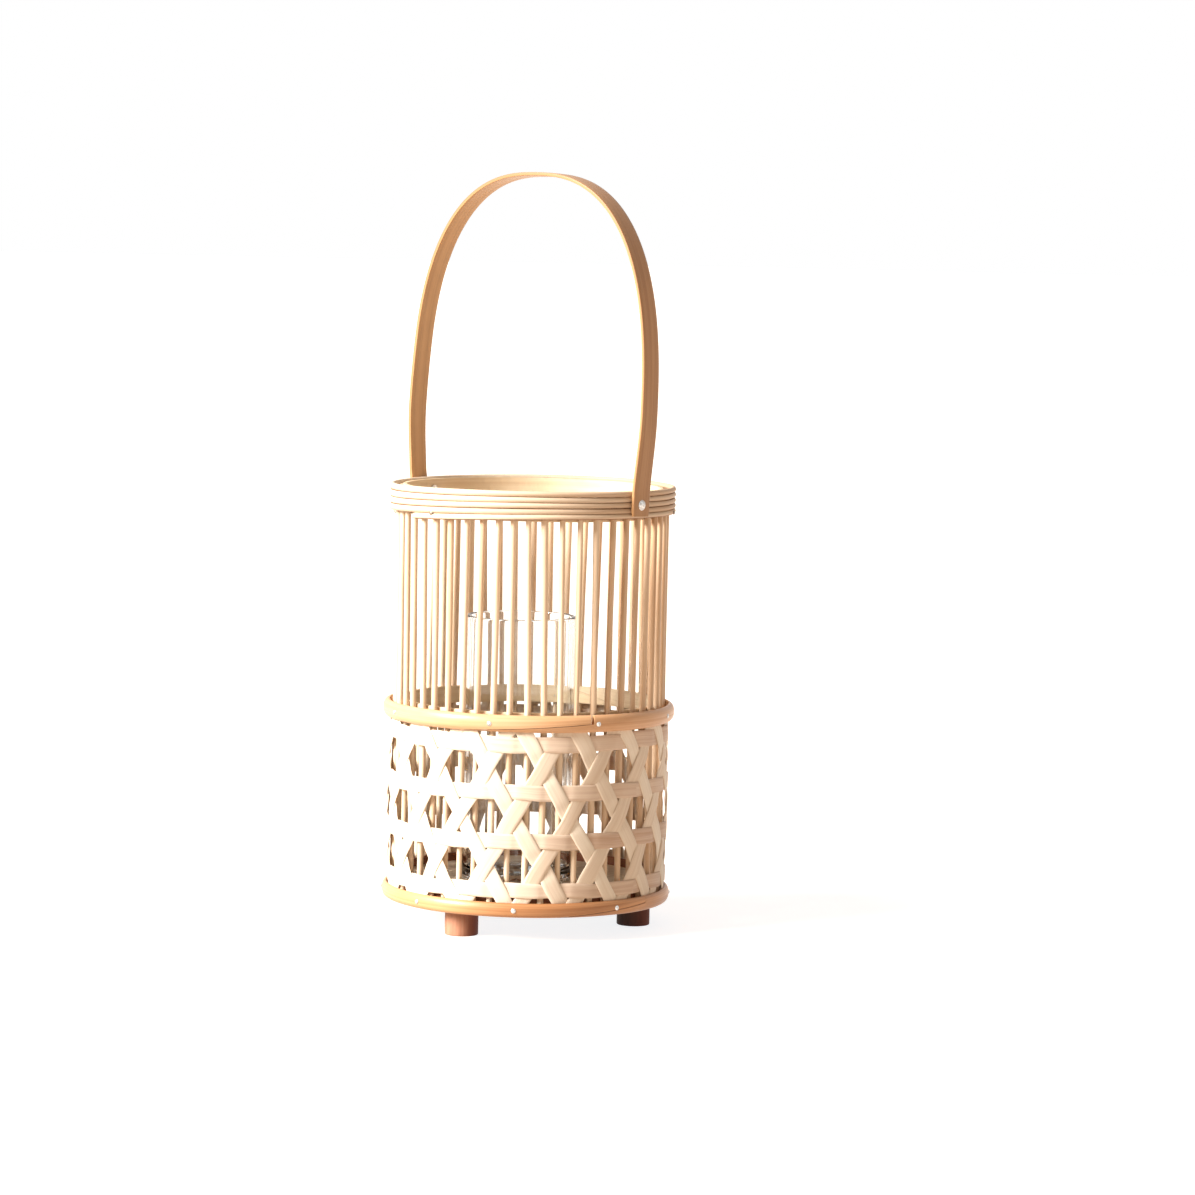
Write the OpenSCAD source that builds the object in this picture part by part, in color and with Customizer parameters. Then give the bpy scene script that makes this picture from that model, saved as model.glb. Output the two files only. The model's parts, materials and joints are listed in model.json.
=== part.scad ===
// Round bamboo lantern with a bail handle, an open woven skirt and a loose glass candle cup.
// Millimetres. +Z is up, the origin is on the table under the centre of the basket, and the
// handle's rivets lie along X.

/* [Basket] */
// Diameter over the outside of the upright stakes
stakes_over = 199.9; // [150:0.1:260]
// Height of the top of the rim above the table
rim_top = 323.8; // [240:1:420]
// Number of upright stakes, in tens
stake_count = 50; // [40:10:60]
// Diameter of one stake
stake_d = 4.5; // [3:0.1:5.5]

/* [Rim] */
// Number of rattan courses bound round the rim
course_count = 5; // [3:2:7]
// Diameter of one rattan course
course_d = 4.2; // [3.4:0.05:5.2]
// Height of the flat band inside the rim
rim_band_h = 20; // [12:0.5:26]
// Thickness of the three flat inner bands
band_t = 2.9; // [1.5:0.1:4]

/* [Hoops] */
// Height of the middle of the waist hoop above the table
waist_z = 157.6; // [120:0.1:200]
// Height of the waist hoop's half-round section
waist_hoop_h = 12.1; // [9:0.1:15]
// Thickness of the waist hoop
waist_hoop_t = 4.3; // [3:0.1:5.5]
// Height of the flat band inside the waist
waist_band_h = 12.6; // [9:0.1:16]
// Height of the middle of the base hoop above the table
base_z = 23.8; // [20:0.1:30]
// Height of the base hoop's half-round section
base_hoop_h = 10.5; // [8:0.1:13]
// Thickness of the base hoop
base_hoop_t = 3.2; // [2.2:0.1:4.5]

/* [Weave] */
// Number of slanting strips each way round the skirt
slant_count = 16; // [12:1:18]
// Number of level strips
ring_count = 4; // [3:1:5]
// Space between a hoop and the nearest level strip
ring_margin = 3.2; // [1:0.1:6]
// Width of a woven strip
strip_w = 10.8; // [7:0.1:13]
// Thickness of a woven strip
strip_t = 0.7; // [0.4:0.05:1]
// Angle of the first crossing round the basket
weave_turn = 12.9; // [0:0.1:30]

/* [Base] */
// Thickness of the base board
board_t = 12; // [6:0.5:14]
// Height of the board's top above the table
board_top = 32.5; // [28:0.5:40]
// Diameter of a foot
foot_d = 24.2; // [16:0.1:30]
// Number of feet
foot_count = 3; // [3:1:4]
// Angle of the first foot round the basket
foot_turn = -84.15; // [-120:0.05:0]

/* [Handle] */
// Height of the top of the handle above the table
handle_top = 549.3; // [420:0.1:700]
// Width of the handle strip
handle_w = 17.4; // [10:0.1:24]
// Thickness of the handle strip
handle_t = 2.6; // [1.6:0.1:4]
// How far the sides of the handle bulge outwards above the rim
handle_bulge = 4; // [0:0.1:12]
// Height of the widest part of the handle above its rivets
handle_shoulder = 67; // [40:1:110]
// Roundness of the handle's arch: 2 is an ellipse, more is squarer
handle_power = 2.48; // [2:0.02:3]
// Lean of the handle at rest, in degrees
handle_lean = 2.1; // [0:0.1:6]
// Diameter of a rivet's shank
rivet_d = 3; // [2:0.1:3.6]

/* [Glass cup] */
// Outer diameter of the cup
cup_d = 80.6; // [60:0.5:100]
// Height of the cup
cup_h = 193.4; // [100:1:230]
// Thickness of the cup's wall
cup_wall = 3; // [2:0.1:5]
// Thickness of the cup's base
cup_base = 6; // [3:0.5:12]
// Where the loose cup stands, left or right of the centre
cup_x = -5.3; // [-12:0.1:12]
// Where the loose cup stands, in front of or behind the centre
cup_y = -4.5; // [-12:0.1:12]

/* [Fasteners] */
// Number of tacks round the waist hoop and the base hoop
tack_count = 8; // [6:1:12]
// Number of tacks round the rim
rim_tack_count = 3; // [3:1:6]
// Diameter of a tack's shank
tack_d = 1.4; // [1:0.1:1.8]
// Diameter of a foot screw's shank
screw_d = 4; // [3:0.1:5]

/* [Hidden] */
$fn = 64;
stakes_in_node = 5;
slants_in_node = 2;
gap = 0.1;                 // between pieces that lie against each other
pin_gap = 0.05;            // round a shank in its hole
swing_gap = 0.4;           // between the handle and the rim
rim_gap = 0.3;             // between the stakes and the courses
foot_margin = 0.25;        // between a foot and the board's edge

stake_group_count = stake_count / stakes_in_node;
slant_group_count = ceil(slant_count / slants_in_node);

// radii, from the stakes outwards and inwards
stakes_r = stakes_over / 2;
stake_circle_r = stakes_r - stake_d / 2;
layer = strip_t + gap;
left_r = stakes_r + gap;
ring_r = left_r + layer;
right_r = ring_r + layer;
hoop_r = right_r + layer;
band_r = stakes_r - stake_d - gap;
band_in_r = band_r - band_t;
rim_in_r = stakes_r + rim_gap;
course_r = rim_in_r + course_d / 2;
rim_r = course_r + course_d / 2;
board_r = band_in_r - gap;

// angles round the basket
stake_step = 360 / stake_count;
slant_step = 360 / slant_count;

// heights
stake_cover = 0.3;         // from the base hoop's lower edge to the stakes' feet
stake_foot = base_z - base_hoop_h / 2 + stake_cover;
course_step = course_d + gap / 2;
rim_bottom = rim_top - course_d - course_step * (course_count - 1);
rivet_z = rim_bottom + course_d / 2 + course_step * (course_count - 1) / 2;
rim_lip = 2.5;             // from the rim's top down to the stakes' and rim band's tops
stake_top = rim_top - rim_lip;
tuck = 1.4;                // from a hoop's middle to the ends of the strips under it
strip_foot = base_z + tuck;
strip_top = waist_z - tuck;
waist_band_rise = 1.1;     // of the inner waist band above the hoop
waist_band_z = waist_z + waist_band_rise;
window_foot = base_z + base_hoop_h / 2;
window_top = waist_z - waist_hoop_h / 2;
ring_foot = window_foot + ring_margin + strip_w / 2;
ring_step = (window_top - ring_margin - strip_w / 2 - ring_foot) / (ring_count - 1);
band_lift = 0.5;           // from the stakes' feet to the base band's foot
band_foot = stake_foot + band_lift;
base_band_rise = 6;        // of the base band above the board
base_band_h = board_top + base_band_rise - band_foot;
weave_mid = ring_foot + ring_step * (ceil(ring_count / 2) - 0.5);
slant_run = PI * ring_r / slant_count;   // how far a strip leans from one row to the next
slant_angle = atan(ring_step / slant_run);

// rows of tacks: how many, their height, their shift round the basket in tacks, and a half where
// they go between the stakes
COUNT = 0;
HEIGHT = 1;
SHIFT = 2;
ASIDE = 3;
rim_row = [rim_tack_count, rim_bottom + course_d / 2, 0.22, 0];
waist_row = [tack_count, waist_z, 0.5, 0];
base_row = [tack_count, base_z, 0.8, 0.5];
tack_point = 1.5;          // length of a tack's tapered point
tack_head_d = 2.5 * tack_d;
tack_head_h = 0.55 * tack_d;
board_bite = 6;            // how far the base tacks go into the board

// where the two ends of a hoop or band meet: the middle's angle and the joint's length
rim_band_joint = [200, 60];
waist_hoop_joint = [-48, 84];
waist_band_joint = [100, 50];
base_hoop_joint = [-15, 70];
base_band_joint = [60, 50];
joint_gap = 0.3;

// handle: its rivets pass midway between two stakes
handle_offset = stake_circle_r * sin(stake_step / 2);
handle_in_x = rim_r + swing_gap;
handle_x = handle_in_x + handle_t / 2;
handle_half = handle_x + handle_bulge;
handle_crown = (handle_top - handle_w / 2 * sin(handle_lean) - rivet_z) / cos(handle_lean);
handle_rise = handle_crown - handle_t / 2 - handle_shoulder;
// strip below the rivet, down to just above the middle of the lowest course
handle_tail = course_step * (course_count - 1) / 2 - 0.4;
head_d = 2.5 * rivet_d;
head_h = 0.55 * rivet_d;
washer_d = 2.4 * rivet_d;
washer_t = 0.8;
tail_h = 1;                // spread end of a rivet
// the washer's outer face, flat against the corner that reaches furthest into the curved band
washer_x = sqrt(pow(band_in_r, 2) - pow(handle_offset + washer_d / 2, 2)) - gap;
foot_r = board_r - foot_d / 2 - foot_margin;
screw_l = board_t + 10;    // from the board's top into the foot

// ---- helpers ----

// a flat band standing on its edge
module band(r_out, z, h, t) {
    translate([0, 0, z])
        difference() {
            cylinder(r = r_out, h = h);
            translate([0, 0, -1]) cylinder(r = r_out - t, h = h + 2);
        }
}

// a half-round hoop with its flat face inwards
module half_round_hoop(r_in, z, h, t) {
    arc_r = (h * h / 4 + t * t) / (2 * t);
    translate([0, 0, z])
        rotate_extrude($fn = 96)
            intersection() {
                translate([r_in + t - arc_r, 0]) circle(r = arc_r);
                translate([r_in, -h]) square([t + 1, 2 * h]);
            }
}

// the angle of tack number i of a row: on the stake nearest to its even share of the turn, or
// between two stakes where aside is a half
function tack_angle(i, row) =
    let (share = (i + row[SHIFT]) * stake_count / row[COUNT])
    (round(share - row[ASIDE]) + row[ASIDE]) * stake_step;

// a low dome of diameter d and height h, flat side down
module dome(d, h) {
    ball_r = (d * d / 4 + h * h) / (2 * h);
    intersection() {
        translate([0, 0, h - ball_r]) sphere(r = ball_r);
        cylinder(r = d, h = h);
    }
}

// holes for the tacks of one row, from from_r outwards
module tack_holes(row, from_r) {
    for (i = [0:row[COUNT] - 1])
        rotate([0, 0, tack_angle(i, row)])
            translate([from_r, 0, row[HEIGHT]])
                rotate([0, 90, 0]) cylinder(d = tack_d + 2 * pin_gap, h = 2 * stakes_r - from_r);
}

// round-headed tacks driven inwards from r_out, with their points at r_in
module tacks(row, r_out, r_in) {
    for (i = [0:row[COUNT] - 1])
        rotate([0, 0, tack_angle(i, row)])
            translate([0, 0, row[HEIGHT]]) rotate([0, 90, 0]) {
                translate([0, 0, r_in]) cylinder(d1 = tack_d / 5, d2 = tack_d, h = tack_point);
                translate([0, 0, r_in + tack_point])
                    cylinder(d = tack_d, h = r_out + gap - r_in - tack_point);
                translate([0, 0, r_out + gap]) dome(tack_head_d, tack_head_h);
            }
}

// both rivet holes, of diameter d
module rivet_holes(d) {
    translate([-2 * stakes_r, -handle_offset, rivet_z])
        rotate([0, 90, 0]) cylinder(d = d, h = 4 * stakes_r);
}

// the slanting joint where the two ends of a hoop meet: a narrow cut that rises by h over its length
module joint_cut(joint, z, h) {
    rotate([0, 0, joint[0]])
        translate([stakes_r, 0, z])
            rotate([atan(h / joint[1]), 0, 0])
                cube([stakes_r / 2, 1.3 * joint[1], joint_gap], center = true);
}

// ---- basket ----

module stakes(group) {
    color("wheat")
        difference() {
            for (i = [0:stakes_in_node - 1])
                rotate([0, 0, stake_step * ((group - 1) * stakes_in_node + i)])
                    translate([stake_circle_r, 0, stake_foot])
                        cylinder(d = stake_d, h = stake_top - stake_foot);
            tack_holes(rim_row, band_r);
            tack_holes(waist_row, band_r);
        }
}

module rim_course(i) {
    color("antiquewhite")
        difference() {
            translate([0, 0, rim_top - course_d / 2 - course_step * (i - 1)])
                rotate_extrude($fn = 96) translate([course_r, 0]) circle(d = course_d);
            rivet_holes(rivet_d + 2 * pin_gap);
            if (i == course_count) tack_holes(rim_row, stakes_r);
        }
}

module rim_band() {
    color("burlywood")
        difference() {
            band(band_r, stake_top - rim_band_h, rim_band_h, band_t);
            rivet_holes(rivet_d + 2 * pin_gap);
            tack_holes(rim_row, band_in_r - 1);
            joint_cut(rim_band_joint, stake_top - rim_band_h / 2, rim_band_h);
        }
}

module waist_hoop() {
    color("tan")
        difference() {
            half_round_hoop(hoop_r, waist_z, waist_hoop_h, waist_hoop_t);
            tack_holes(waist_row, stakes_r);
            joint_cut(waist_hoop_joint, waist_z, waist_hoop_h);
        }
}

module waist_band() {
    color("burlywood")
        difference() {
            band(band_r, waist_band_z - waist_band_h / 2, waist_band_h, band_t);
            tack_holes(waist_row, band_in_r - 1);
            joint_cut(waist_band_joint, waist_band_z, waist_band_h);
        }
}

module base_hoop() {
    color("peru")
        difference() {
            half_round_hoop(hoop_r, base_z, base_hoop_h, base_hoop_t);
            tack_holes(base_row, stakes_r);
            joint_cut(base_hoop_joint, base_z, base_hoop_h);
        }
}

module base_band() {
    color("sienna")
        difference() {
            band(band_r, band_foot, base_band_h, band_t);
            tack_holes(base_row, band_in_r - 1);
            joint_cut(base_band_joint, band_foot + base_band_h / 2, base_band_h);
        }
}

module base_board() {
    color("tan")
        difference() {
            translate([0, 0, board_top - board_t]) cylinder(r = board_r, h = board_t);
            tack_holes(base_row, board_r - board_bite - 1);
            foot_screw_holes();
        }
}

module rim_tacks() {
    color("silver") tacks(rim_row, rim_r, band_in_r - tack_point);
}

module waist_tacks() {
    color("silver") tacks(waist_row, hoop_r + waist_hoop_t, band_in_r - tack_point);
}

module base_tacks() {
    color("silver") tacks(base_row, hoop_r + base_hoop_t, board_r - board_bite);
}

// ---- feet ----

module at_foot(i) {
    rotate([0, 0, foot_turn + 360 / foot_count * (i - 1)]) translate([foot_r, 0, 0]) children();
}

module foot(i) {
    color("rosybrown")
        difference() {
            at_foot(i) cylinder(d = foot_d, h = board_top - board_t);
            foot_screw_holes();
        }
}

module foot_screw_holes() {
    for (i = [1:foot_count])
        at_foot(i) {
            translate([0, 0, board_top - screw_l - gap])
                cylinder(d = screw_d + 2 * pin_gap, h = screw_l + 1);
            translate([0, 0, board_top - screw_d / 2 - gap])
                cylinder(d1 = screw_d, d2 = 2 * screw_d + 4 * gap, h = screw_d / 2 + 2 * gap);
        }
}

module foot_screws() {
    color("silver")
        for (i = [1:foot_count])
            at_foot(i) {
                translate([0, 0, board_top - screw_l]) cylinder(d = screw_d, h = screw_l - gap);
                translate([0, 0, board_top - screw_d / 2])
                    cylinder(d1 = screw_d, d2 = 2 * screw_d, h = screw_d / 2);
            }
}

// ---- skirt weave: three layers of strips, one on the other ----

module weave_ring(i) {
    color("moccasin")
        band(ring_r + strip_t, ring_foot + ring_step * (i - 1) - strip_w / 2, strip_w, strip_t);
}

// one slanting strip, a slice of a thin tube; side is -1 where it rises to the right, seen from
// outside, and 1 where it rises to the left
module slant(r_in, angle, side) {
    rotate([0, 0, angle])
        intersection() {
            band(r_in + strip_t, strip_foot, strip_top - strip_foot, strip_t);
            translate([r_in, 0, weave_mid])
                rotate([side * (90 - slant_angle), 0, 0])
                    cube([0.8 * stakes_r, strip_w, 4 * ring_count * ring_step], center = true);
        }
}

module weave_slants(group, r_in, side) {
    color("moccasin")
        for (i = [(group - 1) * slants_in_node:min(group * slants_in_node, slant_count) - 1])
            slant(r_in, weave_turn + slant_step * i, side);
}

// ---- handle ----

// centre line of one half of the handle in its own plane, from the rivet's tail to the crown,
// as [across, up] from the rivets' height
foot_end = [[handle_x, -handle_tail], [handle_x, handle_tail]];
side_line = [for (u = [0.1:0.1:0.9])
    [handle_x + handle_bulge * pow(sin(90 * u), 1.4),
     handle_tail + (handle_shoulder - handle_tail) * u]];
arch_line = [for (a = [0:4:88])
    [handle_half * pow(cos(a), 2 / handle_power),
     handle_shoulder + handle_rise * pow(sin(a), 2 / handle_power)]];
crown = [[0, handle_shoulder + handle_rise]];
half_line = concat(foot_end, side_line, arch_line, crown);
last = len(half_line) - 1;
handle_line = concat(half_line, [for (i = [last - 1:-1:0]) [-half_line[i][0], half_line[i][1]]]);

// the unit normal at point i of a line, pointing to its right
function normal_at(line, i) =
    let (a = line[max(i - 1, 0)], b = line[min(i + 1, len(line) - 1)], d = (b - a) / norm(b - a))
    [d[1], -d[0]];
function beside(line, distance) =
    [for (i = [0:len(line) - 1]) line[i] + distance * normal_at(line, i)];

module handle_profile() {
    outside = beside(handle_line, handle_t / 2);
    inside = beside(handle_line, -handle_t / 2);
    polygon(concat(outside, [for (i = [len(inside) - 1:-1:0]) inside[i]]));
}

module handle() {
    color("burlywood")
        difference() {
            translate([0, -handle_offset, rivet_z])
                rotate([-handle_lean, 0, 0])
                    translate([0, handle_w / 2, 0])
                        rotate([90, 0, 0]) linear_extrude(handle_w) handle_profile();
            rivet_holes(rivet_d + 2 * pin_gap);
        }
}

// a round-headed rivet with its tail spread over the washer; side is 1 or -1
module rivet(side) {
    head_x = handle_in_x + handle_t + gap;
    tail_x = washer_x - washer_t - gap;
    color("silver")
        mirror([side < 0 ? 1 : 0, 0, 0])
            translate([0, -handle_offset, rivet_z]) rotate([0, 90, 0]) {
                translate([0, 0, tail_x - tail_h])
                    cylinder(d = rivet_d, h = head_x - tail_x + 1.5 * tail_h);
                translate([0, 0, tail_x - tail_h]) cylinder(d = 1.5 * rivet_d, h = tail_h);
                translate([0, 0, head_x]) dome(head_d, head_h);
            }
}

module rivet_washer(side) {
    color("silver")
        mirror([side < 0 ? 1 : 0, 0, 0])
            translate([washer_x - washer_t, -handle_offset, rivet_z]) rotate([0, 90, 0])
                difference() {
                    cylinder(d = washer_d, h = washer_t);
                    translate([0, 0, -1]) cylinder(d = rivet_d + 2 * pin_gap, h = washer_t + 2);
                }
}

// ---- glass cup ----

module glass_cup() {
    color("lightcyan", 0.4)
        translate([cup_x, cup_y, board_top + gap / 2])
            difference() {
                cylinder(d = cup_d, h = cup_h);
                translate([0, 0, cup_base]) cylinder(d = cup_d - 2 * cup_wall, h = cup_h);
            }
}

// ---- nodes ----

handle();
rivet(1);  // rivet_right
rivet(-1);  // rivet_left
rivet_washer(1);  // rivet_washer_right
rivet_washer(-1);  // rivet_washer_left
for (i = [1:course_count])
    rim_course(i);
rim_band();
waist_hoop();
waist_band();
base_hoop();
base_band();
base_board();
for (i = [1:foot_count])
    foot(i);
foot_screws();
rim_tacks();
waist_tacks();
base_tacks();
glass_cup();
for (i = [1:stake_group_count])
    stakes(i);
for (i = [1:ring_count])
    weave_ring(i);
for (i = [1:slant_group_count])
    weave_slants(i, right_r, -1);
for (i = [1:slant_group_count])
    weave_slants(i, left_r, 1);
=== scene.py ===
import json
import math

import bpy
import numpy as np
from mathutils import Matrix, Vector


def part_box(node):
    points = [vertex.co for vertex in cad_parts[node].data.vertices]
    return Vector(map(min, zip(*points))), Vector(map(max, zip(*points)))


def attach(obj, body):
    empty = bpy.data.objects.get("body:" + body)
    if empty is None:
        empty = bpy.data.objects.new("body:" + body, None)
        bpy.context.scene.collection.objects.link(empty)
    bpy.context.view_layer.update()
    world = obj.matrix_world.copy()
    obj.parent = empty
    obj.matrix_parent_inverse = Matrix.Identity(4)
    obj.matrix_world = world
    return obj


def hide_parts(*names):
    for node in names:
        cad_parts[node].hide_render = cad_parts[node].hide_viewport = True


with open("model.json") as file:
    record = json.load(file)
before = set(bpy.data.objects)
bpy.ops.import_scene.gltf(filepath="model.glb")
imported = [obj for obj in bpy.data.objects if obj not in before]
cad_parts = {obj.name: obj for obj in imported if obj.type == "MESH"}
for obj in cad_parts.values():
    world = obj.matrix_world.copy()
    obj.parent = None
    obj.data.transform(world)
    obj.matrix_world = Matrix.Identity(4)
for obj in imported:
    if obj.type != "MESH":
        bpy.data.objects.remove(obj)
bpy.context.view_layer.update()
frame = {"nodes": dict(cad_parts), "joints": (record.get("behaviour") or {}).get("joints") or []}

mm = 0.001
upAxis = np.array([0.0, 0.0, 1.0])


# unit vectors at an angle round the basket: one straight outwards, one along the ring
def outAt(angle):
    return np.stack([np.cos(angle), np.sin(angle), np.zeros_like(angle)], -1)


def alongAt(angle):
    return np.stack([-np.sin(angle), np.cos(angle), np.zeros_like(angle)], -1)


# a smooth uneven line: a sum of sines with seeded sizes and phases, about 1 at its largest;
# turns is the place in whole turns, so whole waves close on themselves round a ring
def wobble(turns, seed, waves=(1, 2, 3, 5, 8)):
    dice = np.random.default_rng(seed)
    count = np.array(waves, float)
    size = dice.uniform(0.4, 1.0, len(waves)) / np.sqrt(count)
    phase = dice.uniform(0, 2 * math.pi, len(waves))
    wave = np.sin(2 * math.pi * np.multiply.outer(turns, count) + phase) * size
    stretch = 1.4      # the waves never all peak together
    return wave.sum(-1) / size.sum() * stretch


# 0 before a, 1 after b, smooth between
def fade(x, a, b):
    t = np.clip((x - a) / (b - a), 0, 1)
    return t * t * (3 - 2 * t)


# painted shade round the basket, as a tint for the side in shade: 1 at the angle at, smoothly down
# to 0 width degrees away from it
def paintedShadeSide(angle, at, width):
    return fade(np.cos(angle - math.radians(at)), math.cos(math.radians(width)), 1)


# a round section: radius 1 at evenly spaced angles, as (across, out)
def roundSection(sides):
    a = 2 * math.pi * np.arange(sides) / sides
    return np.stack([np.cos(a), np.sin(a)], -1)


# a flat section with rounded corners, counter-clockwise as (across, out): corner arcs of
# radius corner, and extra points along both faces so that a strip can cup and bend
def flatSection(width, thick, corner, arc=3, extra=3):
    a = np.linspace(0, math.pi / 2, arc)
    quarter = np.stack([np.cos(a), np.sin(a)], -1) * corner
    x, y = width / 2 - corner, thick / 2 - corner
    face = np.linspace(1, -1, extra + 2)[1:-1]
    parts = [
        quarter + [x, y],
        np.stack([face * x, np.full(extra, thick / 2)], -1),
        quarter[::-1] * [-1, 1] + [-x, y],
        quarter * [-1, -1] + [-x, -y],
        np.stack([-face * x, np.full(extra, -thick / 2)], -1),
        quarter[::-1] * [1, -1] + [x, -y],
    ]
    return np.concatenate(parts)


# carries a section along a path: point = centre + across * section x + out * section y
def carry(centre, across, out, section):
    section = np.broadcast_to(section, (len(centre),) + section.shape[-2:])
    return (centre[:, None] + across[:, None] * section[..., :1]
            + out[:, None] * section[..., 1:])


# distance along the columns and round the rows of a grid, in metres, for its UV map
def gridLengths(points, closedPath):
    row = np.concatenate([points, points[:1]]) if closedPath else points
    middle = row.mean(1)
    u = np.concatenate([[0], np.cumsum(np.linalg.norm(np.diff(middle, axis=0), axis=-1))])
    ring = np.concatenate([points[len(points) // 2], points[len(points) // 2][:1]])
    v = np.concatenate([[0], np.cumsum(np.linalg.norm(np.diff(ring, axis=0), axis=-1))])
    return u, v


# one mesh from several grids of points (path, round, 3); every grid is closed round its section,
# and either closed along its path or capped at both ends, and it is turned over if its volume,
# summed from its faces, comes out negative; a tint is one number for a grid, or one for each point
def meshFrom(name, grids, closedPath=False, uvShift=None, tints=None, sharp=50):
    coords, corners, sizes, uvs, tintOf = [], [], [], [], []
    base = 0
    for k, points in enumerate(grids):
        n, m = points.shape[:2]
        u, v = gridLengths(points, closedPath)
        if uvShift is not None:
            u = u + uvShift[k]
        rows = n if closedPath else n - 1
        i, j = np.meshgrid(np.arange(rows), np.arange(m), indexing="ij")
        i2, j2 = (i + 1) % n, (j + 1) % m
        quad = np.stack([i * m + j, i2 * m + j, i2 * m + j2, i * m + j2], -1).reshape(-1, 4)
        quadUv = np.stack([
            np.stack([u[i], v[j]], -1), np.stack([u[i + 1], v[j]], -1),
            np.stack([u[i + 1], v[j + 1]], -1), np.stack([u[i], v[j + 1]], -1)], -2)
        quadUv = quadUv.reshape(-1, 4, 2)
        flat = points.reshape(-1, 3)
        a, b, c, d = (flat[quad[:, q]] for q in range(4))
        volume = (np.cross(b - a, c - a) * a).sum() + (np.cross(c - a, d - a) * a).sum()
        order = slice(None) if volume > 0 else slice(None, None, -1)
        corners.append((quad[:, order] + base).ravel())
        sizes.append(np.full(len(quad), 4))
        uvs.append(quadUv[:, order].reshape(-1, 2))
        if not closedPath:
            for end, at in ((np.arange(m)[::-1], 0), (np.arange(m), (n - 1) * m)):
                loop = (end + at)[order]
                corners.append(loop + base)
                sizes.append(np.array([m]))
                uvs.append(np.stack([np.full(m, u[0 if at == 0 else -1]), v[:-1][end[order]]], -1))
        coords.append(flat)
        tintOf.append(np.broadcast_to(0.0 if tints is None else tints[k], (n, m)).ravel())
        base += len(flat)
    coords, corners, sizes = np.concatenate(coords), np.concatenate(corners), np.concatenate(sizes)
    mesh = bpy.data.meshes.new(name)
    mesh.vertices.add(len(coords))
    mesh.vertices.foreach_set("co", coords.astype(np.float32).ravel())
    mesh.loops.add(len(corners))
    mesh.loops.foreach_set("vertex_index", corners.astype(np.int32))
    mesh.polygons.add(len(sizes))
    mesh.polygons.foreach_set("loop_start", (np.cumsum(sizes) - sizes).astype(np.int32))
    mesh.update(calc_edges=True)
    layer = mesh.uv_layers.new(name="UVMap")
    layer.data.foreach_set("uv", np.concatenate(uvs).astype(np.float32).ravel())
    tint = mesh.attributes.new("tint", "FLOAT", "POINT")
    tint.data.foreach_set("value", np.concatenate(tintOf).astype(np.float32))
    mesh.polygons.foreach_set("use_smooth", np.ones(len(sizes), bool))
    mesh.set_sharp_from_angle(angle=math.radians(sharp))
    mesh.validate()
    piece = bpy.data.objects.new(name, mesh)
    bpy.context.scene.collection.objects.link(piece)
    return piece


# gives a piece its finish, its body and the CAD nodes that it stands for
def fit(piece, finish, slot, body, *nodes):
    piece.data.materials.clear()
    piece.data.materials.append(finish)
    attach(piece, body)
    if nodes:
        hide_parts(*nodes)
    return piece


# one output of a node; sums and products on it add Math nodes
class Wire:
    def __init__(self, maker, socket):
        self.maker, self.socket = maker, socket

    def calc(self, operation, first, second=0.0, clamp=False):
        return self.maker.add("ShaderNodeMath", "Value",
                              {"operation": operation, "use_clamp": clamp},
                              {0: first, 1: second})

    def __add__(self, other):
        return self.calc("ADD", self, other)

    def __radd__(self, other):
        return self.calc("ADD", other, self)

    def __sub__(self, other):
        return self.calc("SUBTRACT", self, other)

    def __rsub__(self, other):
        return self.calc("SUBTRACT", other, self)

    def __mul__(self, other):
        return self.calc("MULTIPLY", self, other)

    def __rmul__(self, other):
        return self.calc("MULTIPLY", other, self)

    def __truediv__(self, other):
        return self.calc("DIVIDE", self, other)

    def __rtruediv__(self, other):
        return self.calc("DIVIDE", other, self)

    # kept from 0 to 1
    def clipped(self):
        return self.calc("ADD", self, 0.0, clamp=True)

    # 0 below low, 1 above high, straight between
    def between(self, low, high):
        return ((self - low) / (high - low)).clipped()


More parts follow.
